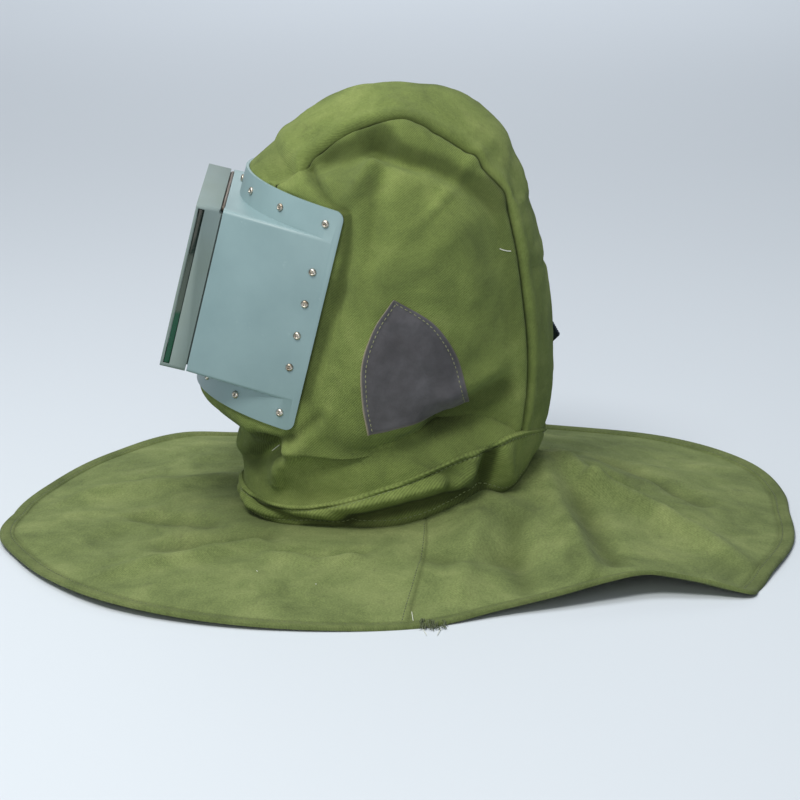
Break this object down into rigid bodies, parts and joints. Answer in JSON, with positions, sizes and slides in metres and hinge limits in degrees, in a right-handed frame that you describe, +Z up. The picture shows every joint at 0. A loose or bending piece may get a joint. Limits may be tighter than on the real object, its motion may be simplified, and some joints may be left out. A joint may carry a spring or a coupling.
{
  "type": "sandblasting hood",
  "caption": "Green canvas sandblasting hood with a spread shoulder cape, leather ear patches and a riveted plastic visor whose lens frame flips up.",
  "frame": {"origin": "on the floor under the middle of the spread cape", "axes": "+Z up, the visor faces -Y, +X is the wearer's left"},
  "size_m": [0.5772, 0.658, 0.3705],
  "materials": {
    "canvas": "heavy cotton twill, matt",
    "cape_canvas": "heavy cotton twill, matt",
    "visor_plastic": "moulded, satin",
    "frame_plastic": "moulded, satin",
    "filter_glass": "polished dark green filter glass",
    "nickel": "nickel-plated rivets",
    "pin_steel": "dull steel wire",
    "leather": "split leather, matt",
    "webbing": "ribbed webbing"
  },
  "bodies": {
    "hood": {"side_panel_left": "canvas", "side_panel_right": "canvas", "centre_strip": "canvas", "neck_band": "canvas", "cape_front": "cape_canvas", "cape_back": "cape_canvas", "face_plate": "visor_plastic", "hinge_pin": "pin_steel", "ear_patch_left": "leather", "ear_patch_right": "leather", "back_tab": "webbing", "rivet_top_1": "nickel", "rivet_top_2": "nickel", "rivet_top_3": "nickel", "rivet_top_4": "nickel", "rivet_top_5": "nickel", "rivet_top_6": "nickel", "rivet_top_7": "nickel", "rivet_bottom_1": "nickel", "rivet_bottom_2": "nickel", "rivet_bottom_3": "nickel", "rivet_bottom_4": "nickel", "rivet_bottom_5": "nickel", "rivet_bottom_6": "nickel", "rivet_bottom_7": "nickel", "rivet_left_1": "nickel", "rivet_left_2": "nickel", "rivet_left_3": "nickel", "rivet_left_4": "nickel", "rivet_right_1": "nickel", "rivet_right_2": "nickel", "rivet_right_3": "nickel", "rivet_right_4": "nickel"},
    "lens_flap": {"lens_frame": "frame_plastic", "lens_glass": "filter_glass"}
  },
  "joints": [
    {"name": "lens_frame_flip", "type": "hinge", "parent": "hood", "child": "lens_flap", "pos_m": [0.00152, -0.14521, 0.28064], "axis": [-1, 0, 0], "range_deg": [0, 90]}
  ]
}
